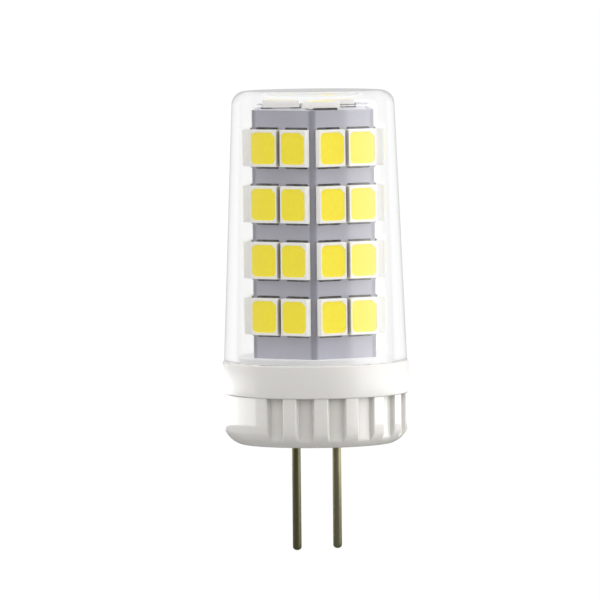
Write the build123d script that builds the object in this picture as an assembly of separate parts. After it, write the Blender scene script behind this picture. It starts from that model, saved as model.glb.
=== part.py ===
from build123d import *
import os
from math import cos, radians, sin, sqrt

os.makedirs("parts", exist_ok=True)

# A plug-in capsule lamp: a clear tapered cover on a white ceramic base with two wire pins.
# Inside the cover stands a folded six-sided board that carries rows of surface-mount emitters.
# The origin is the centre of the base's bottom face, the pins point down and lie along X.
# All sizes are in millimetres and all angles in degrees.

# Contact pins
pin_spacing = 4.0
pin_diameter = 0.8
pin_reach = 9.8  # length below the base
pin_tip_chamfer = 0.2
pin_stem_diameter = 0.76  # drawn down where it enters the base
pin_stem_drop = 0.12  # the stem starts this far below the base
pin_hole_clearance = 0.03

# Ceramic base
base_radius = 8.33  # ribbed lower part
base_height = 7.45
collar_height = 2.95  # smooth ring that carries the cover
collar_overhang = 0.12
collar_edge = 0.12
foot_height = 1.3  # the bottom edge draws in below this height
foot_waist_height = 0.45
foot_waist_inset = 0.55
foot_inset = 1.3
base_floor = 2.0
rib_turn = 20.0
groove_turn = 10.5
grooves_a_side = 6
groove_depth = 0.45
arris_chamfer = 0.14

# Clear cover
cover_height = 24.55
cover_inset = 0.13  # step in from the collar
cover_taper = 0.97  # loss of radius from foot to top
cover_corner = 1.25
cover_corner_bands = 3
cover_foot_wall = 1.27
cover_top_wall = 0.72  # side wall at the top
cover_roof = 0.4
cover_inner_corner = 0.45
skirt_depth = 1.85  # plug of the cover inside the base
skirt_wall = 0.55
skirt_clearance = 0.05
skirt_end_gap = 0.15

# Emitters, in the 2.8 by 3.5 package
emitter_share = 0.3992  # width against the clear radius inside the cover
emitter_length = 3.35
emitter_body = 0.6
pad_thickness = 0.1
pad_length = 0.9
pad_overhang = 0.08
pad_inset = 0.25  # pads are narrower than the body on each side
window_side_frame = 0.15
window_end_frame = 0.23
window_notch = 0.45  # cut corner that marks the polarity
window_depth = 0.3
column_gap = 0.3
emitter_clearance = 0.05  # to the inside of the cover
row_count = 4
row_lift = 4.25  # middle of the lowest row above the base
row_drop = 3.39  # middle of the highest row below the top of the board
facet_count = 6

# Folded board and top board
top_clearance = 0.6  # from the top emitters to the roof of the cover
board_thickness = 0.4
fold_flat = 0.35  # a fold is a narrow flat, this far from the sharp corner on each side
seam_width = 0.2
tower_turn = 6.0  # turn of the folds from the line of the pins
top_board_thickness = 0.8
top_board_clearance = 0.05
top_emitter_inset = 1.92  # middle of a top emitter in from the folded board
top_emitter_start = -75.0
top_emitter_turns = (12.0, 90.0, 90.0)

# Adhesive between the board, the cover and the base
bead_below_rim = 1.4
bead_above_rim = 0.45

# Driver. Shares are of the room inside the folded board or inside the base.
driver_thickness = 1.0
driver_seat = 0.5  # width of the step that carries the driver board
driver_clearance = 0.1
driver_drop = 0.25  # top of the driver board below the foot of the folded board
solder_radius = 0.52
solder_slope = 35.0
solder_height = 0.4
lead_diameter = 0.5
lead_sides = 8
lead_lift = 0.5  # parts stand this far off the driver board
can_share = 1.016
can_clearance = 0.07
can_height = 11.0
can_wall = 0.3
bung_height = 1.2
can_lead_spacing = 2.0
film_width_share = 1.22
film_depth_share = 0.59
film_place_share = 0.427
film_height = 8.5
film_lead_spacing = 4.6
film_edge = 0.3
rectifier_width = 4.0
rectifier_depth_share = 0.65
rectifier_place_share = 0.487
rectifier_clearance = 0.7  # to the floor of the base
rectifier_leg_width = 0.6
rectifier_leg_spacing = 2.54
rectifier_leg_length = 1.2
rectifier_leg_overhang = 0.3
rectifier_leg_thickness = 0.2
chip_length = 3.2
chip_width = 1.4
chip_height = 0.55
chip_place = 1.0
chip_clearance = 1.17  # middle of the outer chip to the wall of the base
fuse_share = 0.386
fuse_height = 3.6
fuse_side_share = 0.732
fuse_front_share = 0.224
wire_diameter = 0.6

# Worked-out sizes
collar_bottom = base_height - collar_height
collar_radius = base_radius + collar_overhang
cover_foot = collar_radius - cover_inset
cover_top = cover_foot - cover_taper
inner_foot = cover_foot - cover_foot_wall
inner_top = cover_top - cover_top_wall
skirt_radius = inner_foot + skirt_wall
ledge_height = base_height - skirt_depth - skirt_end_gap
roof_height = base_height + cover_height


def outer_radius(height):
    """Radius of the outside of the cover at a height."""
    return cover_foot - cover_taper * (height - base_height) / cover_height


def inner_radius(height):
    """Radius of the inside of the cover at a height."""
    share = (height - base_height) / cover_height
    return inner_foot + (inner_top - inner_foot) * share


emitter_height = emitter_body + pad_thickness
board_top = roof_height - cover_roof - top_clearance - emitter_height
lowest_row = base_height + row_lift
row_step = (board_top - row_drop - lowest_row) / (row_count - 1)
corner_radius = inner_radius(board_top - row_drop + emitter_length / 2) - emitter_clearance
emitter_width = emitter_share * corner_radius
column_step = emitter_width + column_gap
emitter_reach = (column_step + emitter_width) / 2
board_apothem = sqrt(corner_radius**2 - emitter_reach**2) - emitter_height
board_bore = board_apothem - board_thickness
top_emitter_ring = board_bore - top_emitter_inset
top_board_bottom = board_top - top_board_thickness
driver_top = ledge_height - driver_drop
driver_bottom = driver_top - driver_thickness
upper_cavity = board_bore + 0.5 * board_thickness  # leaves a ledge under the folded board
lower_cavity = upper_cavity - driver_seat
driver_radius = upper_cavity - driver_clearance
parts_bottom = driver_top + lead_lift
can_radius = can_share * board_bore / 2
can_place = can_radius + can_clearance - board_bore
film_place = film_place_share * board_bore
rectifier_top = driver_bottom - rectifier_leg_thickness
rectifier_height = rectifier_top - base_floor - rectifier_clearance
rectifier_depth = rectifier_depth_share * lower_cavity
rectifier_place = rectifier_place_share * lower_cavity
fuse_radius = fuse_share * board_bore / 2
fuse_side = fuse_side_share * board_bore
fuse_front = -fuse_front_share * board_bore
upright = (Align.CENTER, Align.CENTER, Align.MIN)
hanging = (Align.CENTER, Align.CENTER, Align.MAX)


def write(name, *shapes):
    """Writes the solids of one sub-part to its own file."""
    solids = [solid for shape in shapes for solid in shape.solids()]
    export_step(solids[0] if len(solids) == 1 else Compound(solids), f"parts/{name}.step")


def rod(place, radius, bottom, top):
    """An upright round rod between two heights."""
    return Pos(place[0], place[1], bottom) * Cylinder(radius, top - bottom, align=upright)


def stiff_lead(place, radius, bottom, top):
    """A thin upright lead, eight-sided to keep it light."""
    return Pos(place[0], place[1], bottom) * extrude(RegularPolygon(radius, lead_sides), top - bottom)


def hexagon(apothem, corner_flat):
    """A six-sided outline with blunted corners, one corner towards -Y."""
    corners = [Vector(0, -apothem / cos(radians(30))).rotate(Axis.Z, 60 * i) for i in range(6)]
    face = make_face(Polyline(*corners, close=True))
    return chamfer(face.vertices(), corner_flat)


def corner_points():
    """Points of the cover's rounded top edge, as short straight bands."""
    centre_radius = outer_radius(roof_height - cover_corner) - cover_corner
    points = []
    for i in range(cover_corner_bands + 1):
        angle = radians(90 / cover_corner_bands * i)
        across = centre_radius + cover_corner * cos(angle)
        points.append((across, roof_height - cover_corner + cover_corner * sin(angle)))
    return points


def clear_cover():
    """One moulded shell: tapered wall, closed top and a thin skirt that plugs into the base."""
    edge = [(0, base_height), (cover_foot, base_height)] + corner_points() + [(0, roof_height)]
    outside = revolve(Plane.XZ * make_face(Polyline(*edge, close=True)), Axis.Z)
    skirt = Pos(0, 0, base_height) * Cylinder(skirt_radius, skirt_depth, align=hanging)
    roof = roof_height - cover_roof
    hollow_height = roof - base_height
    hollow = Cone(inner_foot, inner_radius(roof), hollow_height, align=upright)
    hollow = chamfer(hollow.edges().sort_by(Axis.Z)[-1], cover_inner_corner)
    mouth = Cylinder(inner_foot, skirt_depth, align=hanging)
    return outside + skirt - Pos(0, 0, base_height) * (hollow + mouth)


def rib_outline():
    """Plan of the ribbed part: two groups of ribs with a smooth panel over each pin."""
    beyond = base_radius * 2
    first = -rib_turn * (grooves_a_side - 1) / 2
    middles = [first + i * rib_turn for i in range(grooves_a_side)]
    wedges = []
    for side in (-90, 90):
        for middle in middles:
            edges = [side + middle - groove_turn / 2, side + middle + groove_turn / 2]
            rim = [(beyond * cos(radians(a)), beyond * sin(radians(a))) for a in edges]
            wedges.append(make_face(Polyline((0, 0), *rim, close=True)))
    ring = Circle(beyond) - Circle(base_radius - groove_depth)
    plan = Rot(0, 0, -90 + first) * Circle(base_radius)
    for wedge in wedges:
        plan -= ring & wedge
    halfway = base_radius - groove_depth / 2
    arrises = [v for v in plan.vertices() if Vector(v.X, v.Y, 0).length > halfway]
    return chamfer(arrises, arris_chamfer)


def foot_form():
    """The turned outside of the ribbed part, with its drawn-in bottom edge."""
    foot = [(0, 0), (base_radius - foot_inset, 0)]
    foot.append((base_radius - foot_waist_inset, foot_waist_height))
    foot += [(base_radius, foot_height), (base_radius, collar_bottom), (0, collar_bottom)]
    return revolve(Plane.XZ * make_face(Polyline(*foot, close=True)), Axis.Z)


def pin_places():
    """Centres of the two pins."""
    return [(-pin_spacing / 2, 0), (pin_spacing / 2, 0)]


def ceramic_base():
    """One pressed and glazed piece, hollow from above, with two pin holes in its floor."""
    lower = extrude(rib_outline(), collar_bottom) & foot_form()
    collar = Pos(0, 0, collar_bottom) * Cylinder(collar_radius, collar_height, align=upright)
    collar = chamfer(collar.edges().filter_by(GeomType.CIRCLE).sort_by(Axis.Z)[0], collar_edge)
    body = lower + collar
    body -= rod((0, 0), skirt_radius + skirt_clearance, ledge_height, base_height)
    body -= rod((0, 0), upper_cavity, driver_bottom, ledge_height)
    body -= rod((0, 0), lower_cavity, base_floor, driver_bottom)
    for place in pin_places():
        body -= rod(place, pin_diameter / 2 + pin_hole_clearance, 0, base_floor)
    return body


def contact_pin(place):
    """A round wire pin, drawn down a little from where it enters the base to the driver board."""
    wire = rod(place, pin_diameter / 2, -pin_reach, -pin_stem_drop)
    wire = chamfer(wire.edges().sort_by(Axis.Z)[0], pin_tip_chamfer)
    return wire + rod(place, pin_stem_diameter / 2, -pin_stem_drop, driver_top)


def folded_board():
    """A thin board folded to six facets, open along one corner at the back."""
    height = board_top - ledge_height
    sheet = hexagon(board_apothem, fold_flat) - hexagon(board_bore, fold_flat / 2)
    seam = Pos(0, board_apothem) * Rectangle(seam_width, board_apothem)
    return Pos(0, 0, ledge_height) * extrude(sheet - seam, height)


def top_board():
    """The small board that closes the top of the folded one."""
    outline = hexagon(board_bore - top_board_clearance, fold_flat)
    return Pos(0, 0, top_board_bottom) * extrude(outline, top_board_thickness)


def window(depth):
    """The light window of an emitter, down from the front of its body."""
    width = emitter_width - 2 * window_side_frame
    length = emitter_length - 2 * window_end_frame
    outline = Rectangle(width, length)
    outline = chamfer(outline.vertices().sort_by(Axis.X)[-2:].sort_by(Axis.Y)[-1], window_notch)
    return Pos(0, 0, emitter_height - depth) * extrude(outline, depth)


def emitter_housing():
    """The white moulded cup of one emitter."""
    block = Pos(0, 0, pad_thickness) * Box(emitter_width, emitter_length, emitter_body, align=upright)
    return block - window(window_depth)


def emitter_pads():
    """The two solder pads under an emitter, which stand out at its ends."""
    width = emitter_width - 2 * pad_inset
    middle = emitter_length / 2 + pad_overhang - pad_length / 2
    pad = Box(width, pad_length, pad_thickness, align=upright)
    return [Pos(0, side * middle, 0) * pad for side in (-1, 1)]


def facet_places(facet):
    """Where the emitters of one facet stand: a column each side of its middle."""
    angle = radians(360 / facet_count * facet - 60)
    normal = Vector(cos(angle), sin(angle), 0)
    across = Vector(-sin(angle), cos(angle), 0)
    places = []
    for row in range(row_count):
        for side in (-0.5, 0.5):
            height = Vector(0, 0, lowest_row + row * row_step)
            origin = normal * board_apothem + across * (side * column_step) + height
            places.append(Plane(origin=origin, x_dir=across, z_dir=normal))
    return places


def top_places():
    """Where the emitters of the top board stand."""
    step = 360 / len(top_emitter_turns)
    places = []
    for i, turn in enumerate(top_emitter_turns):
        spot = Vector(top_emitter_ring, 0, 0).rotate(Axis.Z, top_emitter_start + step * i)
        across = Vector(1, 0, 0).rotate(Axis.Z, turn)
        places.append(Plane(origin=spot + Vector(0, 0, board_top), x_dir=across, z_dir=(0, 0, 1)))
    return places


def adhesive_bead():
    """White adhesive round the foot of the folded board, up to just over the rim."""
    top = base_height + bead_above_rim
    bottom = base_height - bead_below_rim
    outline = Circle(inner_radius(top)) - hexagon(board_apothem, fold_flat)
    return Pos(0, 0, bottom) * extrude(outline, top - bottom)


def lead_pair(spacing, place):
    """Two leads beside each other, from the driver board up to the part they carry."""
    places = [(-spacing / 2, place), (spacing / 2, place)]
    return [stiff_lead(p, lead_diameter / 2, driver_top, parts_bottom) for p in places]


def driver_board():
    """A round board on the step in the base."""
    board = rod((0, 0), driver_radius, driver_bottom, driver_top)
    for place in pin_places():
        board -= rod(place, pin_diameter / 2 + pin_hole_clearance, driver_bottom, driver_top)
    return board


def pin_solder():
    """A dome of solder over the end of each pin, on the driver board."""
    cap = extrude(RegularPolygon(solder_radius, lead_sides), solder_height, taper=solder_slope)
    return [Pos(place[0], place[1], driver_top) * cap for place in pin_places()]


def smoothing_can():
    """The drawn can of the smoothing capacitor."""
    can = Cylinder(can_radius, can_height, align=upright)
    can = chamfer(can.edges().filter_by(GeomType.CIRCLE).sort_by(Axis.Z)[-1], can_wall)
    mouth = Cylinder(can_radius - 2 * can_wall, bung_height, align=upright)
    return Pos(0, can_place, parts_bottom) * (can - mouth)


def can_bung():
    """The rubber bung in the mouth of the can."""
    return rod((0, can_place), can_radius - 2 * can_wall, parts_bottom, parts_bottom + bung_height)


def film_capacitor():
    """The boxed film capacitor that drops the mains voltage."""
    width = film_width_share * board_bore
    depth = film_depth_share * board_bore
    box = Box(width, depth, film_height, align=upright)
    box = chamfer(box.edges().filter_by(Axis.Z), film_edge)
    box = chamfer(box.faces().sort_by(Axis.Z)[-1].edges(), film_edge / 2)
    return Pos(0, film_place, parts_bottom) * box


def bridge_rectifier():
    """The flat body of the rectifier, under the driver board."""
    body = Box(rectifier_width, rectifier_depth, rectifier_height, align=hanging)
    return Pos(0, rectifier_place, rectifier_top) * body


def rectifier_legs():
    """Four flat legs between the rectifier and the board."""
    legs = []
    leg = Box(rectifier_leg_width, rectifier_leg_length, rectifier_leg_thickness, align=hanging)
    middle = rectifier_depth / 2 + rectifier_leg_overhang - rectifier_leg_length / 2
    for x in (-0.5, 0.5):
        for y in (-1, 1):
            place = Pos(x * rectifier_leg_spacing, rectifier_place + y * middle, driver_bottom)
            legs.append(place * leg)
    return legs


def chip_resistors():
    """The bleed resistors under the driver board."""
    chip = Box(chip_length, chip_width, chip_height, align=hanging)
    return [Pos(0, y, driver_bottom) * chip for y in (-chip_place, chip_clearance - lower_cavity)]


def fusible_resistor():
    """An upright resistor in the line to the emitters, with its lower lead."""
    place = (fuse_side, fuse_front)
    body = rod(place, fuse_radius, parts_bottom, parts_bottom + fuse_height)
    return body + stiff_lead(place, lead_diameter / 2, driver_top, parts_bottom)


def output_wires():
    """Two stiff wires up to the top board, one from the resistor and one from the driver board."""
    radius = wire_diameter / 2
    plus = stiff_lead((fuse_side, fuse_front), radius, parts_bottom + fuse_height, top_board_bottom)
    minus = stiff_lead((-fuse_side, fuse_front), radius, driver_top, top_board_bottom)
    return [plus, minus]


def seam_solder():
    """Three small solder fillets that tie the top board to the folded one, on its underside."""
    fillets = []
    size = 2 * top_board_thickness
    for i in range(3):
        bar = Pos(0, board_bore, top_board_bottom) * Rot(0, 90, 0) * Cylinder(size / 2, size)
        corner = Box(size, size, size, align=(Align.CENTER, Align.MAX, Align.MAX))
        inside = Pos(0, board_bore, top_board_bottom) * corner
        fillets.append(Rot(0, 0, 30 + 120 * i) * (bar & inside))
    return fillets


tower = Rot(0, 0, tower_turn - 30)

write("clear_cover", clear_cover())
write("ceramic_base", ceramic_base())
for number, place in enumerate(pin_places(), start=1):
    write(f"contact_pin_{number}", contact_pin(place))
write("folded_board", tower * folded_board())
write("top_board", tower * top_board())
write("adhesive_bead", tower * adhesive_bead())

housing = emitter_housing()
phosphor = window(window_depth)
pads = emitter_pads()
groups = {f"facet_{facet + 1}": facet_places(facet) for facet in range(facet_count)}
groups["top"] = top_places()
for group, places in groups.items():
    spots = [tower * place.location for place in places]
    write(f"emitter_housings_{group}", *[spot * housing for spot in spots])
    write(f"emitter_phosphors_{group}", *[spot * phosphor for spot in spots])
    write(f"emitter_pads_{group}", *[spot * pad for spot in spots for pad in pads])

write("driver_board", driver_board())
write("pin_solder", *pin_solder())
write("smoothing_capacitor", smoothing_can())
write("capacitor_bung", can_bung())
write("capacitor_leads", *lead_pair(can_lead_spacing, can_place))
write("film_capacitor", film_capacitor())
write("film_capacitor_leads", *lead_pair(film_lead_spacing, film_place))
write("bridge_rectifier", bridge_rectifier())
write("rectifier_legs", *rectifier_legs())
write("chip_resistors", *chip_resistors())
write("fusible_resistor", fusible_resistor())
write("output_wires", *output_wires())
write("seam_solder", *[tower * piece for piece in seam_solder()])
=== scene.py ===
import math

import bpy
from mathutils import Matrix, Vector
from mathutils.geometry import tessellate_polygon


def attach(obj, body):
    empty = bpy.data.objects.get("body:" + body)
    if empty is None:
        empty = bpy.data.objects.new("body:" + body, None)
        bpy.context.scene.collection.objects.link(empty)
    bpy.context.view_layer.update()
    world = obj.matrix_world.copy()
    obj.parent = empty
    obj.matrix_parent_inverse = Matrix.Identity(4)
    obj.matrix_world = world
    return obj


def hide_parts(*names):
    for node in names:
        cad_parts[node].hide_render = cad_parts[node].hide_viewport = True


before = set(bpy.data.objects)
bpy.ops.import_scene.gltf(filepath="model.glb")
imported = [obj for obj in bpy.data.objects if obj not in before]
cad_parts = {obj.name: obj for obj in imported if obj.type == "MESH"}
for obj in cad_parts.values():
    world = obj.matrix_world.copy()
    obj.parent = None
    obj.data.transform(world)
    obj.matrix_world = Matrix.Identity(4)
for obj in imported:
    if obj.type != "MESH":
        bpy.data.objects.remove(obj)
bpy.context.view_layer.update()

milli = 0.001  # the pieces are in millimetres, and the camera and the stage in metres
white = (1.0, 1.0, 1.0, 1.0)
cloudEnds = (0.3, 0.7)  # where a mottled finish has its two colours in full


# Mesh helpers
def addMesh(name, points, faces, sharpAngle=32.0):
    mesh = bpy.data.meshes.new(name)
    mesh.from_pydata([tuple(value * milli for value in point) for point in points], [], faces)
    mesh.validate()
    mesh.update()
    piece = bpy.data.objects.new(name, mesh)
    bpy.context.scene.collection.objects.link(piece)
    mesh.shade_smooth()
    mesh.set_sharp_from_angle(angle=math.radians(sharpAngle))
    return piece


def place(piece, nodes, finish):
    piece.data.materials.clear()
    piece.data.materials.append(finish)
    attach(piece, "root")
    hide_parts(*nodes)


def arc(centre, radius, start, end, steps):
    points = []
    for i in range(steps + 1):
        angle = math.radians(start + (end - start) * i / steps)
        points.append((centre[0] + radius * math.cos(angle), centre[1] + radius * math.sin(angle)))
    return points


def between(start, end, steps):
    # Points on a straight line, both ends included.
    points = []
    for i in range(steps + 1):
        share = i / steps
        points.append((start[0] + (end[0] - start[0]) * share, start[1] + (end[1] - start[1]) * share))
    return points


def turned(point, angle):
    x, y = point
    c, s = math.cos(math.radians(angle)), math.sin(math.radians(angle))
    return (x * c - y * s, x * s + y * c)


def wallFaces(rows, count):
    # Quads between closed rows of equal length, from the bottom row up.
    faces = []
    for r in range(rows - 1):
        for i in range(count):
            j = (i + 1) % count
            faces.append([r * count + i, r * count + j, (r + 1) * count + j, (r + 1) * count + i])
    return faces


def flatFaces(points, loops, faceUp):
    # Triangles for a flat outline with any holes, turned to face up or down.
    faces = []
    flat = [index for loop in loops for index in loop]
    outlines = [[Vector((points[i][0], points[i][1], 0.0)) for i in loop] for loop in loops]
    for triangle in tessellate_polygon(outlines):
        corners = [flat[k] for k in triangle]
        a, b, c = (Vector(points[k]) for k in corners)
        if ((b - a).cross(c - a).z > 0) != faceUp:
            corners.reverse()
        faces.append(corners)
    return faces


def revolve(profile, steps, centre=(0.0, 0.0)):
    # A profile point on the axis becomes one shared vertex.
    points, rings, faces = [], [], []
    for across, height in profile:
        if across < 1e-6:
            rings.append([len(points)] * steps)
            points.append((centre[0], centre[1], height))
            continue
        rings.append(list(range(len(points), len(points) + steps)))
        for i in range(steps):
            angle = 2 * math.pi * i / steps
            x, y = across * math.cos(angle), across * math.sin(angle)
            points.append((centre[0] + x, centre[1] + y, height))
    for lower, upper in zip(rings, rings[1:]):
        for i in range(steps):
            j = (i + 1) % steps
            corners = [lower[i], lower[j], upper[j], upper[i]]
            face = [c for k, c in enumerate(corners) if c != corners[k - 1]]
            if len(face) > 2:
                faces.append(face)
    return points, faces


# Material helpers
def linear(red, green, blue):
    def one(value):
        value = value / 255
        return value / 12.92 if value <= 0.04045 else ((value + 0.055) / 1.055) ** 2.4
    return (one(red), one(green), one(blue), 1.0)


def firstOf(tree, kind):
    return next(node for node in tree.nodes if node.type == kind)


def newMaterial(name):
    finish = bpy.data.materials.new(name)
    finish.use_nodes = True
    return finish, finish.node_tree, firstOf(finish.node_tree, "BSDF_PRINCIPLED")


def addNode(tree, kind, links=None, **values):
    made = tree.nodes.new(kind)
    for key, value in values.items():
        if key in made.inputs:
            made.inputs[key].default_value = value
        else:
            setattr(made, key, value)
    for key, source in (links or {}).items():
        tree.links.new(source, made.inputs[key])
    return made


def feed(tree, socket, value):
    # A number is set on the socket, and anything else is linked to it.
    if isinstance(value, float):
        socket.default_value = value
    else:
        tree.links.new(value, socket)


def mathOf(tree, operation, first, second):
    made = addNode(tree, "ShaderNodeMath", operation=operation)
    feed(tree, made.inputs[0], first)
    feed(tree, made.inputs[1], second)
    return made.outputs["Value"]


def mapped(tree, source, given, wanted, kind="LINEAR"):
    ends = {"From Min": given[0], "From Max": given[1], "To Min": wanted[0], "To Max": wanted[1]}
    made = addNode(tree, "ShaderNodeMapRange", {"Value": source}, interpolation_type=kind, **ends)
    return made.outputs["Result"]


def mixLevels(tree, share, first, second):
    # The Mix node keeps its sockets for plain numbers at 0, 2 and 3.
    made = addNode(tree, "ShaderNodeMix", {0: share})
    feed(tree, made.inputs[2], first)
    feed(tree, made.inputs[3], second)
    return made.outputs[0]


def multiplied(tree, first, second):
    # The Mix node keeps its sockets for colours at 6 and 7, and the result at 2.
    made = addNode(tree, "ShaderNodeMix", {6: first, 7: second}, data_type="RGBA", blend_type="MULTIPLY")
    made.inputs["Factor"].default_value = 1.0
    return made.outputs[2]


def mixShaders(tree, share, first, second):
    return addNode(tree, "ShaderNodeMixShader", {0: share, 1: first, 2: second}).outputs[0]


def placeOf(tree):
    return addNode(tree, "ShaderNodeTexCoord").outputs["Object"]


def noiseOf(tree, scale, detail=4.0, stretch=(1.0, 1.0, 1.0)):
    mapping = addNode(tree, "ShaderNodeMapping", {"Vector": placeOf(tree)}, Scale=stretch)
    links = {"Vector": mapping.outputs["Vector"]}
    return addNode(tree, "ShaderNodeTexNoise", links, Scale=scale, Detail=detail).outputs["Fac"]


def rampOf(tree, source, low, high, ends=(0.0, 1.0)):
    ramp = addNode(tree, "ShaderNodeValToRGB", {"Fac": source})
    for element, position, colour in zip(ramp.color_ramp.elements, ends, (low, high)):
        element.position = position
        element.color = colour
    return ramp.outputs["Color"]


def bumpOf(tree, shader, source, strength, depth):
    bump = addNode(tree, "ShaderNodeBump", {"Height": source}, Strength=strength, Distance=depth * milli)
    tree.links.new(bump.outputs["Normal"], shader.inputs["Normal"])


def fromAxis(tree, inner, outer):
    # Runs from 0 to 1 between two distances from the upright axis.
    flat = addNode(tree, "ShaderNodeVectorMath", {0: placeOf(tree)}, operation="MULTIPLY")
    flat.inputs[1].default_value = (1.0, 1.0, 0.0)
    reach = addNode(tree, "ShaderNodeVectorMath", {0: flat.outputs["Vector"]}, operation="LENGTH")
    return mapped(tree, reach.outputs["Value"], (inner * milli, outer * milli), (0.0, 1.0))


def openness(tree, distance, low, high):
    # From 0 in a deep corner of the piece to 1 in the open; the finishes use it for painted shade.
    around = addNode(
        tree, "ShaderNodeAmbientOcclusion", Distance=distance * milli, samples=8, only_local=True,
    )
    return mapped(tree, around.outputs["AO"], (low, high), (0.0, 1.0))


def shaded(tree, share, dark, light=white):
    # Paints shade: multiplies the base colour by one that runs from dark to light with the share.
    socket = firstOf(tree, "BSDF_PRINCIPLED").inputs["Base Color"]
    plain = socket.links[0].from_socket
    tree.links.new(multiplied(tree, plain, rampOf(tree, share, dark, light)), socket)


def mottled(name, dark, light, scale, roughness, bump, detail=4.0, stretch=(1.0, 1.0, 1.0), **sockets):
    # A look is two near colours, the scale of their clouds, the least and the most roughness,
    # and the strength and depth of the bump. Finer clouds set the roughness and the bump.
    finish, tree, shader = newMaterial(name)
    colour = rampOf(tree, noiseOf(tree, scale, detail, stretch), dark, light, cloudEnds)
    tree.links.new(colour, shader.inputs["Base Color"])
    fine = noiseOf(tree, scale * 3.1, detail, stretch)
    tree.links.new(mapped(tree, fine, (0.0, 1.0), roughness), shader.inputs["Roughness"])
    bumpOf(tree, shader, fine, *bump)
    for key, value in sockets.items():
        shader.inputs[key.replace("_", " ")].default_value = value
    return finish


# Clear cover
cover = dict(
    foot=7.45, roof=32.0, outerFoot=8.32, outerTop=7.35, innerFoot=7.05, innerTop=6.63, roofWall=0.4,
    outerRound=1.25, innerRound=0.78, footEdge=0.05, skirtRadius=7.6, skirtEnd=5.6, skirtFlare=0.02,
    flareDrop=0.12, steps=288, roundSteps=12, wallSteps=10, roofSteps=6,
    index=1.585, rough=(0.0, 0.02), roughScale=400.0, bump=(0.03, 0.2), bumpScale=90.0,
    shadowLevel=0.93, bounces=4.5, lastLevel=0.7,
)


def coverFinish():
    finish, tree, shader = newMaterial("coverFinish")
    shader.inputs["Base Color"].default_value = white
    shader.inputs["IOR"].default_value = cover["index"]
    shader.inputs["Transmission Weight"].default_value = 1.0
    rough = mapped(tree, noiseOf(tree, cover["roughScale"]), (0.0, 1.0), cover["rough"])
    tree.links.new(rough, shader.inputs["Roughness"])
    bumpOf(tree, shader, noiseOf(tree, cover["bumpScale"], 1.0), *cover["bump"])
    path = addNode(tree, "ShaderNodeLightPath").outputs
    # Light that has run on and on inside the wall ends in the white room.
    deep = mathOf(tree, "GREATER_THAN", path["Ray Depth"], cover["bounces"])
    last = addNode(tree, "ShaderNodeEmission", Color=white, Strength=cover["lastLevel"])
    glass = mixShaders(tree, deep, shader.outputs["BSDF"], last.outputs["Emission"])
    # Shadows and soft light go straight through.
    soft = mathOf(tree, "MAXIMUM", path["Is Shadow Ray"], path["Is Diffuse Ray"])
    clear = addNode(tree, "ShaderNodeBsdfTransparent", Color=(cover["shadowLevel"],) * 3 + (1.0,))
    surface = mixShaders(tree, soft, glass, clear.outputs["BSDF"])
    tree.links.new(surface, firstOf(tree, "OUTPUT_MATERIAL").inputs["Surface"])
    return finish


def coverRadius(height, foot, top):
    return foot + (top - foot) * (height - cover["foot"]) / (cover["roof"] - cover["foot"])


def coverCorner(foot, top, roof, radius):
    # The round from the tapered wall to the flat roof.
    slope = math.atan((foot - top) / (cover["roof"] - cover["foot"]))
    height = roof - radius
    reach = coverRadius(height, foot, top) - radius / math.cos(slope)
    return arc((reach, height), radius, math.degrees(slope), 90.0, cover["roundSteps"])


def buildCover():
    foot, roof, edge = cover["foot"], cover["roof"], cover["footEdge"]
    innerRoof = roof - cover["roofWall"]
    outer = coverCorner(cover["outerFoot"], cover["outerTop"], roof, cover["outerRound"])
    inner = coverCorner(cover["innerFoot"], cover["innerTop"], innerRoof, cover["innerRound"])
    skirt, wallSteps, roofSteps = cover["skirtRadius"], cover["wallSteps"], cover["roofSteps"]
    # Up the outside from the skirt in the base, over the roof and down the inside.
    profile = [(skirt, cover["skirtEnd"]), (skirt, foot - cover["flareDrop"])]
    profile += [(skirt + cover["skirtFlare"], foot)]
    profile += [(cover["outerFoot"] - edge, foot), (cover["outerFoot"], foot + edge)]
    profile += between((cover["outerFoot"], foot + 2 * edge), outer[0], wallSteps)[:-1] + outer
    profile += between(outer[-1], (0.0, roof), roofSteps)[1:]
    profile += between((0.0, innerRoof), inner[-1], roofSteps)[:-1] + inner[::-1]
    profile += between(inner[0], (cover["innerFoot"], foot), wallSteps)[1:]
    profile += [(cover["innerFoot"], cover["skirtEnd"]), (skirt, cover["skirtEnd"])]
    points, faces = revolve(profile, cover["steps"])
    place(addMesh("coverShell", points, faces), ["clear_cover"], coverFinish())


buildCover()
print("cover built")


# Ceramic base
base = dict(
    radius=8.33, collarRadius=8.45, collarFoot=4.5, top=7.45, lowerRound=0.15, upperRound=0.1,
    footRadius=7.03, footTop=1.3, footArc=2.2, grooves=6, grooveTurn=10.5, ribTurn=20.0, grooveDepth=0.45,
    rampWidth=0.26, footLip=0.02, footBlend=0.08, socket=7.65, socketEdge=0.05, socketFloor=5.45,
    cavity=5.12, step=4.2, lowerCavity=4.62, floor=2.0, pinPlaces=(-2.0, 2.0), pinHole=0.43,
    holeSteps=32, footSteps=12, roundSteps=5, wallSteps=4, cloudScale=120.0,
    dark=linear(232, 230, 225), light=linear(240, 238, 234), paintedGrooveShade=(0.92, 0.915, 0.905, 1.0),
    paintedCornerShade=(0.68, 0.67, 0.65, 1.0), corners=(1.2, 0.45, 0.92), rough=(0.32, 0.48), roughScale=900.0,
    bump=(0.08, 0.2), bumpScale=260.0, coat=0.8, ribShine=0.04, collarShine=0.22, blend=0.1,
    softness=0.08, softDepth=0.8,
)


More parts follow.
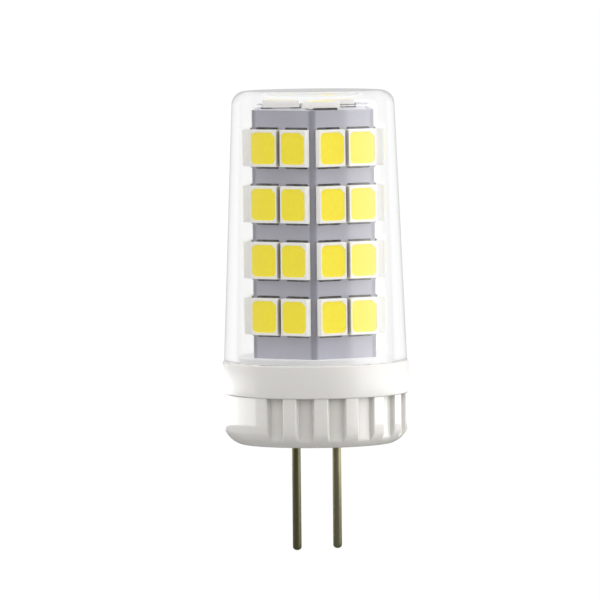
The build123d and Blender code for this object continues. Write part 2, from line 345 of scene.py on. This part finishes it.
def glazeFinish():
    finish, tree, shader = newMaterial("glazeFinish")
    clouds = rampOf(tree, noiseOf(tree, base["cloudScale"], 5.0), base["dark"], base["light"], cloudEnds)
    tree.links.new(clouds, shader.inputs["Base Color"])
    # Painted shade: the glaze is coloured darker inside the grooves.
    inGroove = fromAxis(tree, base["radius"] - base["grooveDepth"], base["radius"] - base["blend"])
    shaded(tree, inGroove, base["paintedGrooveShade"])
    # Painted shade: the glaze is coloured darker in its deep corners.
    shaded(tree, openness(tree, *base["corners"]), base["paintedCornerShade"])
    rough = mapped(tree, noiseOf(tree, base["roughScale"], 3.0), (0.0, 1.0), base["rough"])
    tree.links.new(rough, shader.inputs["Roughness"])
    bumpOf(tree, shader, noiseOf(tree, base["bumpScale"], 2.0), *base["bump"])
    # The glaze is duller on the collar than on the ribs.
    level = addNode(tree, "ShaderNodeSeparateXYZ", {"Vector": placeOf(tree)}).outputs["Z"]
    edge = base["collarFoot"] * milli
    start = edge - base["blend"] * milli
    dull = mapped(tree, level, (start, edge), (base["ribShine"], base["collarShine"]))
    tree.links.new(dull, shader.inputs["Coat Roughness"])
    shader.inputs["Coat Weight"].default_value = base["coat"]
    shader.inputs["Subsurface Weight"].default_value = base["softness"]
    shader.inputs["Subsurface Scale"].default_value = base["softDepth"] * milli
    return finish


def easy(value):
    value = min(1.0, max(0.0, value))
    return value * value * (3 - 2 * value)


def softMin(first, second, blend):
    share = max(blend - abs(first - second), 0.0) / blend
    return min(first, second) - share * share * blend * 0.25


def grooveMiddles():
    # Two groups of grooves, on opposite sides.
    first = -base["ribTurn"] * (base["grooves"] - 1) / 2
    return [side + first + base["ribTurn"] * i for side in (-90.0, 90.0) for i in range(base["grooves"])]


def baseAngles():
    # Even samples, with more on each rib and groove and most where a groove's side slopes.
    evenTurn, evenStart, fineTurn, closest = 4.0, 0.02, 1.8, 0.08
    slopeTurn = math.degrees(base["rampWidth"] / base["radius"]) * 0.75
    angles = {round(i * evenTurn + evenStart, 4) for i in range(90)}
    for middle in grooveMiddles():
        for side in (-1, 1):
            edge = middle + side * base["grooveTurn"] / 2
            angles |= {round((edge + slopeTurn * i / 6) % 360, 4) for i in range(-6, 7)}
        for centre in (middle, middle + base["ribTurn"] / 2):
            angles |= {round((centre + i * fineTurn) % 360, 4) for i in range(-2, 3)}
    ordered = sorted(angles)
    return [a for k, a in enumerate(ordered) if k == 0 or a - ordered[k - 1] > closest]


def ribRadius(angle):
    depth = 0.0
    for middle in grooveMiddles():
        off = abs((angle - middle + 180) % 360 - 180)
        inside = math.radians(base["grooveTurn"] / 2 - off) * base["radius"]
        depth = max(depth, easy(inside / base["rampWidth"] + 0.5))
    return base["radius"] - base["grooveDepth"] * depth


def footProfile():
    # The bottom edge is a large arc from the flat bottom to the ribs.
    start, end = Vector((base["footRadius"], 0.0)), Vector((base["radius"], base["footTop"]))
    chord = end - start
    normal = Vector((-chord.y, chord.x)).normalized()
    centre = (start + end) / 2 + normal * math.sqrt(base["footArc"] ** 2 - (chord.length / 2) ** 2)
    first, last = (math.degrees(math.atan2(p.y - centre.y, p.x - centre.x)) for p in (start, end))
    foot = arc(tuple(centre), base["footArc"], first, last, base["footSteps"])
    foot[0] = (base["footRadius"], 0.0)
    return foot


def collarProfile():
    # From the collar's lower edge over the top and down the stepped socket.
    collar, low, high = base["collarRadius"], base["lowerRound"], base["upperRound"]
    socket, edge, steps = base["socket"], base["socketEdge"], base["roundSteps"]
    ring = arc((collar - low, base["collarFoot"] + low), low, -90.0, 0.0, steps)
    ring += arc((collar - high, base["top"] - high), high, 0.0, 90.0, steps)
    ring += [(socket + edge, base["top"]), (socket, base["top"] - edge), (socket, base["socketFloor"])]
    ring += [(base["cavity"], base["socketFloor"]), (base["cavity"], base["step"])]
    ring += [(base["lowerCavity"], base["step"]), (base["lowerCavity"], base["floor"])]
    return ring


def baseRows(angles):
    ribs = [ribRadius(a) for a in angles]
    rows = []
    for across, height in footProfile():
        if height <= 0:
            rows.append([(across, height)] * len(angles))
            continue
        lip, blend = base["footLip"], base["footBlend"]
        rows.append([(softMin(across, rib + lip, blend), height) for rib in ribs])
    wall = between((base["radius"], base["footTop"]), (base["radius"], base["collarFoot"]), base["wallSteps"])
    rows += [[(rib, height) for rib in ribs] for across, height in wall[1:]]
    rows += [[point] * len(angles) for point in collarProfile()]
    return rows


def buildBase():
    angles = baseAngles()
    rows = baseRows(angles)
    count, steps = len(angles), base["holeSteps"]
    points = []
    for row in rows:
        for (across, height), angle in zip(row, angles):
            points.append(turned((across, 0.0), angle) + (height,))
    faces = wallFaces(len(rows), count)
    rims = [list(range(count)), [(len(rows) - 1) * count + i for i in range(count)]]
    # The bottom and the floor, with the pin holes between them.
    holes = []
    for height in (0.0, base["floor"]):
        level = []
        for x in base["pinPlaces"]:
            level.append(list(range(len(points), len(points) + steps)))
            points += [p + (height,) for p in arc((x, 0.0), base["pinHole"], 0.0, 360.0, steps)[:-1]]
        holes.append(level)
    faces += flatFaces(points, [rims[0]] + holes[0], False)
    faces += flatFaces(points, [rims[1]] + holes[1], True)
    for lower, upper in zip(*holes):
        for i in range(steps):
            j = (i + 1) % steps
            faces.append([lower[j], lower[i], upper[i], upper[j]])
    piece = addMesh("ceramicBody", points, faces, sharpAngle=38.0)
    place(piece, ["ceramic_base"], glazeFinish())


buildBase()
print("base built")


# Contact pins
pin = dict(
    radius=0.4, stem=0.38, stemFoot=-0.12, stemRamp=0.03, tip=-9.8, tipHeight=0.32, bodyFoot=0.6, top=5.2,
    steps=48, tipSteps=8, bodySteps=10, stretch=(1.0, 1.0, 0.08),
    look=(linear(100, 98, 72), linear(164, 160, 128), 700.0, (0.24, 0.42), (0.15, 0.04)),
)


def pinFinish():
    # The clouds are stretched along the pin. The dark olive colour is partly the metal's own tint and partly
    # painted shade for the dark surroundings it mirrors.
    return mottled("pinFinish", *pin["look"], stretch=pin["stretch"], Metallic=1.0)


def buildPins():
    finish = pinFinish()
    radius, tip, stemFoot = pin["radius"], pin["tip"], pin["stemFoot"]
    profile = [(0.0, tip)]
    for i in range(1, pin["tipSteps"] + 1):
        angle = math.radians(90 * i / pin["tipSteps"])
        profile.append((radius * math.sin(angle), tip + pin["tipHeight"] * (1 - math.cos(angle))))
    bodyFoot, bodyTop = (radius, tip + pin["bodyFoot"]), (radius, stemFoot - pin["stemRamp"])
    profile += between(bodyFoot, bodyTop, pin["bodySteps"])
    profile += [(pin["stem"], stemFoot), (pin["stem"], pin["top"]), (0.0, pin["top"])]
    for number, x in enumerate(base["pinPlaces"], start=1):
        points, faces = revolve(profile, pin["steps"], (x, 0.0))
        piece = addMesh(f"contactPin{number}", points, faces)
        place(piece, [f"contact_pin_{number}"], finish)


buildPins()
print("pins built")


# Folded board and top board
board = dict(
    apothem=5.319, bore=4.919, bottom=5.45, top=30.3, turn=-24.0, foldRound=0.6, innerFoldRound=0.2,
    foldSteps=6, rowHeight=8.0, seam=0.2, seamMargin=0.02, lidThickness=0.8, lidGap=0.05, lidRound=0.35,
    lidBevel=0.03, coat=0.5, coatRough=0.2, crease=(0.61, 0.7), creasePaintedShade=(0.63, 0.63, 0.65, 1.0),
    # The board is white solder mask; its lavender grey colour is painted shade.
    look=(linear(187, 186, 198), linear(197, 196, 208), 300.0, (0.42, 0.6), (0.12, 0.03)),
)


def boardFinish():
    coat, coatRough = board["coat"], board["coatRough"]
    finish = mottled("boardFinish", *board["look"], Coat_Weight=coat, Coat_Roughness=coatRough)
    # Painted shade: the creases lie farthest from the axis and are coloured darker.
    tree = finish.node_tree
    crease = [board["apothem"] + beyond for beyond in board["crease"]]
    shaded(tree, fromAxis(tree, *crease), white, board["creasePaintedShade"])
    return finish


def hexagonLoop(apothem, fold):
    half = math.cos(math.radians(30))
    points = []
    for k in range(6):
        corner = -90.0 + 60.0 * k
        centre = turned(((apothem - fold) / half, 0.0), corner)
        points += arc(centre, fold, corner - 30, corner + 30, board["foldSteps"])
    return points


def openedLoop(loop):
    # The loop opens at the fold towards +Y, where the seam stands.
    half = board["seam"] / 2 + board["seamMargin"]
    apex = [i for i, (x, y) in enumerate(loop) if y > 0 and abs(x) < half]
    return loop[apex[-1] + 1:] + loop[:apex[0]]


def buildSheet(finish):
    outer = openedLoop(hexagonLoop(board["apothem"], board["foldRound"]))
    inner = openedLoop(hexagonLoop(board["bore"], board["innerFoldRound"]))
    section = [turned(p, board["turn"]) for p in outer + inner[::-1]]
    count, bottom, row = len(section), board["bottom"], board["rowHeight"]
    heights = (bottom, bottom + row, bottom + 2 * row, board["top"])
    points = [p + (height,) for height in heights for p in section]
    faces = wallFaces(len(heights), count)
    faces += flatFaces(points, [list(range(count))], False)
    faces += flatFaces(points, [list(range(3 * count, 4 * count))], True)
    place(addMesh("boardSheet", points, faces), ["folded_board"], finish)


def buildLid(finish):
    outline = hexagonLoop(board["bore"] - board["lidGap"], board["lidRound"])
    loop = [turned(p, board["turn"]) for p in outline]
    bottom, top, bevel = board["top"] - board["lidThickness"], board["top"], board["lidBevel"]
    levels = [(bottom, bevel), (bottom + bevel, 0.0), (top - bevel, 0.0), (top, bevel)]
    points = []
    for height, inset in levels:
        for x, y in loop:
            share = 1 - inset / math.hypot(x, y)
            points.append((x * share, y * share, height))
    count = len(loop)
    faces = wallFaces(len(levels), count)
    faces.append(list(range(count))[::-1])
    faces.append(list(range(3 * count, 4 * count)))
    place(addMesh("boardLid", points, faces), ["top_board"], finish)


boardWhite = boardFinish()
buildSheet(boardWhite)
buildLid(boardWhite)
print("boards built")


# Adhesive bead
bead = dict(
    drop=1.4, rise=0.45, sag=0.09, skin=0.002, foldCut=0.09, ripples=((0.04, 7, 0.0), (0.03, 17, 40.0)),
    steps=240, across=10, glow=linear(250, 250, 252), paintedGlowLevel=0.14,
    look=(linear(240, 240, 241), linear(249, 249, 250), 240.0, (0.35, 0.55), (0.2, 0.2)),
)


def adhesiveFinish():
    # Painted light: the bead glows a little to look brighter.
    glow, paintedGlowLevel = bead["glow"], bead["paintedGlowLevel"]
    return mottled("adhesiveFinish", *bead["look"], Emission_Color=glow, Emission_Strength=paintedGlowLevel)


def boardReach(angle):
    # From the axis to the folded board's outer face, with its corners cut back a little.
    off = (angle - board["turn"] + 90 + 30) % 60 - 30
    facet = board["apothem"] / math.cos(math.radians(30 - abs(off)))
    return min(facet, board["apothem"] / math.cos(math.radians(30)) - bead["foldCut"])


def beadColumn(angle, outer, bottom, rise):
    # One upright slice, with a top that sags and ripples between its two edges.
    inner, ripple = boardReach(angle), 0.0
    for size, waves, shift in bead["ripples"]:
        ripple += size * math.sin(math.radians(angle * waves + shift))
    column = [(inner, bottom)]
    for k in range(bead["across"] + 1):
        share = k / bead["across"]
        sag = bead["sag"] * (1 - (2 * share - 1) ** 4) + ripple * (1 - abs(2 * share - 1))
        column.append((inner + (outer - inner) * share, rise - max(0.0, sag)))
    return column + [(outer, bottom)]


def buildBead():
    bottom, rise = cover["foot"] - bead["drop"], cover["foot"] + bead["rise"]
    outer = coverRadius(rise, cover["innerFoot"], cover["innerTop"]) - bead["skin"]
    points, faces = [], []
    for i in range(bead["steps"]):
        angle = 360 * i / bead["steps"]
        column = beadColumn(angle, outer, bottom, rise)
        points += [turned((reach, 0.0), angle) + (height,) for reach, height in column]
    row = bead["across"] + 3
    for i in range(bead["steps"]):
        j = (i + 1) % bead["steps"]
        for k in range(row):
            n = (k + 1) % row
            faces.append([i * row + k, i * row + n, j * row + n, j * row + k])
    piece = addMesh("adhesiveRing", points, faces, sharpAngle=50.0)
    place(piece, ["adhesive_bead"], adhesiveFinish())


buildBead()
print("bead built")


# Emitters
emitter = dict(
    width=2.65, length=3.35, height=0.7, pad=0.1, columnStep=2.95, lowest=11.7, rowStep=5.07, rows=4,
    side=0.15, end=0.23, windowRound=0.45, notch=0.42, fill=0.645, fillGap=0.025, dome=0.022,
    padInset=0.25, cornerSteps=6, lidRing=3.0, lidStart=-75.0, lidTurns=(12.0, 90.0, 90.0),
    cupLook=(linear(245, 243, 236), linear(250, 249, 244), 700.0, (0.4, 0.6), (0.08, 0.02)),
    cupPaintedShade=(0.42, 0.37, 0.28, 1.0), cupCorners=(0.5, 0.5, 0.97),
    cupPaintedGlow=linear(255, 253, 246), cupPaintedGlowLevel=0.16,
    fillLook=(linear(249, 228, 12), linear(252, 236, 32), 2600.0, (0.35, 0.6), (0.12, 0.02)),
    fillDetail=8.0, fillPaintedGlow=linear(250, 229, 20), fillPaintedGlowLevel=0.25,
    # The tin's dark colour is partly painted shade for the pads' ends.
    tinLook=(linear(64, 64, 62), linear(140, 140, 136), 1500.0, (0.25, 0.5), (0.3, 0.03)),
)


def cupFinish():
    finish = mottled("cupFinish", *emitter["cupLook"], Emission_Color=emitter["cupPaintedGlow"])
    tree = finish.node_tree
    # Painted shade and painted light: moulding that stands close to its neighbour is coloured darker and
    # yellower, and the open moulding glows a little.
    clear = openness(tree, *emitter["cupCorners"])
    glow = mapped(tree, clear, (0.0, 1.0), (0.0, emitter["cupPaintedGlowLevel"]))
    tree.links.new(glow, firstOf(tree, "BSDF_PRINCIPLED").inputs["Emission Strength"])
    shaded(tree, clear, emitter["cupPaintedShade"])
    return finish


def phosphorFinish():
    # Painted light: the phosphor glows a little to look brighter.
    return mottled(
        "phosphorFinish", *emitter["fillLook"], detail=emitter["fillDetail"],
        Emission_Color=emitter["fillPaintedGlow"], Emission_Strength=emitter["fillPaintedGlowLevel"],
    )


def tinFinish():
    return mottled("tinFinish", *emitter["tinLook"], Metallic=1.0)


def facetSpots(facet):
    # The fold towards -Y comes first, so facet k faces 60 degrees times k, less 60, before the turn.
    angle = 60.0 * facet - 60.0 + board["turn"]
    normal = Vector(turned((1.0, 0.0), angle) + (0.0,))
    across = Vector(turned((0.0, 1.0), angle) + (0.0,))
    spots = []
    for row in range(emitter["rows"]):
        for side in (-0.5, 0.5):
            origin = normal * board["apothem"] + across * (side * emitter["columnStep"])
            origin.z = emitter["lowest"] + row * emitter["rowStep"]
            spots.append((origin, across, Vector((0.0, 0.0, 1.0)), normal))
    return spots


def lidSpots():
    spots = []
    up = Vector((0.0, 0.0, 1.0))
    for i, turn in enumerate(emitter["lidTurns"]):
        around = emitter["lidStart"] + 120.0 * i + board["turn"]
        origin = Vector(turned((emitter["lidRing"], 0.0), around) + (board["top"],))
        across = Vector(turned((1.0, 0.0), turn + board["turn"]) + (0.0,))
        spots.append((origin, across, up.cross(across), up))
    return spots


def roundedLoop(width, length, radius, notch=0.0):
    # Runs anticlockwise, and a notch cuts the corner at +x +y straight.
    points, steps = [], emitter["cornerSteps"]
    for sx, sy, start in ((1, 1, 0), (-1, 1, 90), (-1, -1, 180), (1, -1, 270)):
        x, y = sx * width / 2, sy * length / 2
        if notch and start == 0:
            points += between((x, y - notch), (x - notch, y), steps)
        else:
            points += arc((x - sx * radius, y - sy * radius), radius, start, start + 90, steps)
    return points


def stackLoops(loops):
    # Each loop is its points and its height, and all have as many points.
    count = len(loops[0][0])
    points = [(x, y, height) for loop, height in loops for x, y in loop]
    faces = wallFaces(len(loops), count)
    faces.append(list(range(count))[::-1])
    faces.append([(len(loops) - 1) * count + i for i in range(count)])
    return points, faces


def cupForm():
    # A block with soft edges and a window that narrows inwards. Each level says how much smaller
    # than the block or the window it is, the radius of its corners and its height.
    width, length, top, radius = (emitter[k] for k in ("width", "length", "height", "windowRound"))
    windowWidth, windowLength = width - 2 * emitter["side"], length - 2 * emitter["end"]
    outside = [(0.0, 0.03, emitter["pad"]), (0.0, 0.03, emitter["pad"] + 0.22)]
    outside += [(0.03, 0.05, top - 0.05), (0.09, 0.07, top)]
    window = [(-0.02, radius, top), (0.03, radius - 0.02, top - 0.03), (0.16, radius - 0.05, top - 0.25)]
    loops = [(roundedLoop(width - less, length - less, corner), z) for less, corner, z in outside]
    for less, corner, z in window:
        loops.append((roundedLoop(windowWidth - less, windowLength - less, corner, emitter["notch"]), z))
    return stackLoops(loops)


def phosphorForm():
    # A low dome that fills the window.
    gap, fill = emitter["fillGap"], emitter["fill"]
    width = emitter["width"] - 2 * emitter["side"] - 2 * gap
    length = emitter["length"] - 2 * emitter["end"] - 2 * gap
    radius, notch = emitter["windowRound"], emitter["notch"]
    loops = [(roundedLoop(width - 0.1, length - 0.1, radius - 0.05, notch), fill - 0.15)]
    for share in (1.0, 0.97, 0.9, 0.75, 0.5, 0.2):
        loop = roundedLoop(width * share, length * share, (radius - 0.02) * share, notch * share)
        loops.append((loop, fill + emitter["dome"] * share ** 6))
    return stackLoops(loops)


def padForm():
    # Two terminals, each with a solder fillet that runs out on the board.
    profile = [(0.85, 0.0), (1.87, 0.0), (1.84, 0.03), (1.79, 0.08)]
    profile += [(1.74, 0.15), (1.7, 0.19), (1.68, emitter["pad"]), (0.85, emitter["pad"])]
    half = emitter["width"] / 2 - emitter["padInset"]
    count = len(profile)
    points, faces = [], []
    for side in (-1, 1):
        first = len(points)
        for x in (-half, half):
            points += [(x, side * y, z) for y, z in profile]
        faces += [[first + i for i in face] for face in wallFaces(2, count)]
        faces.append([first + i for i in range(count)])
        faces.append([first + count + i for i in range(count)][::-1])
    return points, faces


def buildGroup(name, form, spots, node, finish):
    # One copy of the form at each spot, all in one mesh.
    points, faces = [], []
    for origin, xAxis, yAxis, zAxis in spots:
        first = len(points)
        points += [tuple(origin + xAxis * x + yAxis * y + zAxis * z) for x, y, z in form[0]]
        faces += [[first + k for k in face] for face in form[1]]
    place(addMesh(name, points, faces), [node], finish)


def buildEmitters(padFinish):
    kinds = (
        ("cups", cupForm(), "emitter_housings", "emitter_cup", cupFinish()),
        ("phosphors", phosphorForm(), "emitter_phosphors", "phosphor", phosphorFinish()),
        ("pads", padForm(), "emitter_pads", "tin", padFinish),
    )
    groups = {f"facet_{k + 1}": facetSpots(k) for k in range(6)}
    groups["top"] = lidSpots()
    for group, spots in groups.items():
        label = group.replace("_", "").capitalize()
        for kind, form, node, slotName, finish in kinds:
            buildGroup(f"{kind}{label}", form, spots, f"{node}_{group}", finish)


tin = tinFinish()  # for the pads and for the driver's leads and solder
buildEmitters(tin)
print("emitters built")


# Driver, hidden inside: it keeps the CAD's shapes and takes its finishes by slot
driverLooks = dict(
    driver_laminate=(
        "laminateFinish", linear(26, 74, 46), linear(46, 104, 62), 900.0, (0.4, 0.6), (0.2, 0.02),
    ),
    can_sleeve=("sleeveFinish", linear(18, 18, 22), linear(38, 38, 44), 600.0, (0.3, 0.5), (0.1, 0.02)),
    bung_rubber=("bungFinish", linear(22, 20, 18), linear(44, 40, 36), 1200.0, (0.6, 0.85), (0.3, 0.03)),
    film_box=("filmFinish", linear(178, 130, 30), linear(206, 160, 52), 500.0, (0.4, 0.6), (0.1, 0.02)),
    black_epoxy=("epoxyFinish", linear(16, 16, 17), linear(40, 40, 42), 1400.0, (0.5, 0.75), (0.25, 0.02)),
    resistor_coat=(
        "resistorFinish", linear(30, 92, 88), linear(52, 124, 116), 700.0, (0.4, 0.6), (0.15, 0.02),
    ),
    wire_sleeve=("wireFinish", linear(150, 22, 20), linear(182, 40, 34), 500.0, (0.4, 0.6), (0.1, 0.02)),
)
driverSlots = dict(
    driver_board="driver_laminate", pin_solder="tin", smoothing_capacitor="can_sleeve",
    capacitor_bung="bung_rubber", capacitor_leads="tin", film_capacitor="film_box",
    film_capacitor_leads="tin", bridge_rectifier="black_epoxy", rectifier_legs="tin",
    chip_resistors="black_epoxy", fusible_resistor="resistor_coat", output_wires="wire_sleeve",
    seam_solder="tin",
)


def dressDriver(leadFinish):
    finishes = {slotName: mottled(*look) for slotName, look in driverLooks.items()}
    finishes["tin"] = leadFinish
    for node, slotName in driverSlots.items():
        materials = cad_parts[node].data.materials
        materials.clear()
        materials.append(finishes[slotName])


dressDriver(tin)
print("driver dressed")


# Camera at the photograph's angle
eye = dict(
    azimuth=-23.0, elevation=3.4, roll=0.6, distance=0.6, lens=396.0, sensor=36.0, height=0.01295,
    shift=-0.00136, clip=(0.01, 20.0),
)


def buildCamera():
    a, e, r = (math.radians(eye[k]) for k in ("azimuth", "elevation", "roll"))
    back = Vector((math.sin(a) * math.cos(e), -math.cos(a) * math.cos(e), math.sin(e)))
    level = Vector((math.cos(a), math.sin(a), 0.0))
    upright = back.cross(level)
    right = level * math.cos(r) - upright * math.sin(r)
    up = level * math.sin(r) + upright * math.cos(r)
    where = Vector((0.0, 0.0, eye["height"])) + level * eye["shift"] + back * eye["distance"]
    data = bpy.data.cameras.new("photoView")
    data.sensor_width = eye["sensor"]
    data.lens = eye["lens"]
    data.clip_start, data.clip_end = eye["clip"]
    camera = bpy.data.objects.new("photoView", data)
    rows = [(right[i], up[i], back[i], where[i]) for i in range(3)]
    camera.matrix_world = Matrix(rows + [(0.0, 0.0, 0.0, 1.0)])
    bpy.context.scene.collection.objects.link(camera)
    bpy.context.scene.camera = camera


# Light and floor. Each kind of ray sees its own level, with panels that add to it or take from it.
# A panel has its azimuth from the camera's side, the turn at which it starts, the turn at which
# it is full and its strength.
lighting = dict(
    room=(1.4, [
        (-8.0, 66.0, 12.0, -1.14),
        (74.0, 33.0, 18.0, 1.9),
        (118.0, 45.0, 20.0, 0.9),
        (180.0, 60.0, 30.0, -0.5),
    ]),
    mirror=(0.9, [
        (-20.0, 100.0, 50.0, -0.62),
        (74.0, 33.0, 18.0, 1.5),
        (118.0, 45.0, 20.0, 0.2),
        (180.0, 75.0, 40.0, -0.3),
    ]),
    floor=(1.15, [
        (-8.0, 66.0, 12.0, -0.85),
        (95.0, 50.0, 36.0, 3.2),
        (-124.0, 45.0, 43.0, 3.4),
    ]),
    card=(0.3, [
        (180.0, 80.0, 35.0, 0.78),
        (76.0, 36.0, 18.0, 1.0),
    ]),
)
stage = dict(
    size=3.0, colour=0.48, roughness=0.9, seen=1.06, seenShare=0.9, near=0.3, rings=(0.1, 0.235),
    ringBlend=1.12,
)


def directionOf(azimuth):
    angle = math.radians(azimuth + eye["azimuth"])
    return (math.sin(angle), -math.cos(angle), 0.0)


def lightLevel(tree, direction, kind):
    total, panels = lighting[kind]
    for azimuth, starts, full, strength in panels:
        facing = addNode(tree, "ShaderNodeVectorMath", {0: direction}, operation="DOT_PRODUCT")
        facing.inputs[1].default_value = directionOf(azimuth)
        turns = (math.cos(math.radians(starts)), math.cos(math.radians(full)))
        part = mapped(tree, facing.outputs["Value"], turns, (0.0, strength), "SMOOTHSTEP")
        total = mathOf(tree, "ADD", part, total)
    return total


def floorFinish():
    finish, tree, shader = newMaterial("floorFinish")
    shader.inputs["Base Color"].default_value = (stage["colour"],) * 3 + (1.0,)
    shader.inputs["Roughness"].default_value = stage["roughness"]
    path = addNode(tree, "ShaderNodeLightPath").outputs
    where = placeOf(tree)
    away = addNode(tree, "ShaderNodeVectorMath", {0: where}, operation="NORMALIZE").outputs["Vector"]
    distance = addNode(tree, "ShaderNodeVectorMath", {0: where}, operation="LENGTH").outputs["Value"]
    # White to the eye with a faint shadow, and grey at the sides through the cover's wall.
    card = lightLevel(tree, away, "card")
    seenLevel = mixLevels(tree, path["Is Transmission Ray"], stage["seen"], card)
    glow = addNode(tree, "ShaderNodeEmission", {"Strength": seenLevel}, Color=white).outputs["Emission"]
    seen = mathOf(tree, "MAXIMUM", path["Is Camera Ray"], path["Is Transmission Ray"])
    part = mapped(tree, seen, (0.0, 1.0), (0.0, stage["seenShare"]))
    plain = mixShaders(tree, part, shader.outputs["BSDF"], glow)
    # A glossy wall mirrors the floor in rings: dim by the object, then lit, then at the room's level.
    level = stage["near"]
    for inner, kind in zip(stage["rings"], ("floor", "mirror")):
        ring = mapped(tree, distance, (inner, inner * stage["ringBlend"]), (0.0, 1.0), "SMOOTHSTEP")
        level = mixLevels(tree, ring, level, lightLevel(tree, away, kind))
    mirrored = addNode(tree, "ShaderNodeEmission", {"Strength": level}, Color=white).outputs["Emission"]
    # A refracted ray also counts as glossy, so it is taken out again.
    reflected = mathOf(tree, "SUBTRACT", path["Is Glossy Ray"], path["Is Transmission Ray"])
    surface = mixShaders(tree, reflected, plain, mirrored)
    tree.links.new(surface, firstOf(tree, "OUTPUT_MATERIAL").inputs["Surface"])
    return finish


def buildFloor():
    size, low = stage["size"], pin["tip"] * milli
    corners = [(-size, -size, low), (size, -size, low), (size, size, low), (-size, size, low)]
    mesh = bpy.data.meshes.new("stageFloor")
    mesh.from_pydata(corners, [], [(0, 1, 2, 3)])
    mesh.materials.append(floorFinish())
    floor = bpy.data.objects.new("stageFloor", mesh)
    bpy.context.scene.collection.objects.link(floor)


def buildWorld():
    # White to the eye, and the soft room with its panels for everything else.
    world = bpy.data.worlds.new("softRoom")
    bpy.context.scene.world = world
    world.use_nodes = True
    tree = world.node_tree
    room = firstOf(tree, "BACKGROUND")
    room.inputs["Color"].default_value = white
    where = addNode(tree, "ShaderNodeTexCoord").outputs["Generated"]
    tree.links.new(lightLevel(tree, where, "room"), room.inputs["Strength"])
    path = addNode(tree, "ShaderNodeLightPath").outputs
    # Glossy surfaces mirror a darker room, and glass shows the white card with its greyer sides.
    surface = room.outputs["Background"]
    for ray, kind in (("Is Glossy Ray", "mirror"), ("Is Transmission Ray", "card")):
        level = lightLevel(tree, where, kind)
        other = addNode(tree, "ShaderNodeBackground", {"Strength": level}, Color=white)
        surface = mixShaders(tree, path[ray], surface, other.outputs["Background"])
    seen = addNode(tree, "ShaderNodeBackground", Color=white, Strength=1.0)
    surface = mixShaders(tree, path["Is Camera Ray"], surface, seen.outputs["Background"])
    tree.links.new(surface, firstOf(tree, "OUTPUT_WORLD").inputs["Surface"])


buildFloor()
buildWorld()
buildCamera()
bpy.context.scene.view_settings.view_transform = "Standard"
print("stage built")
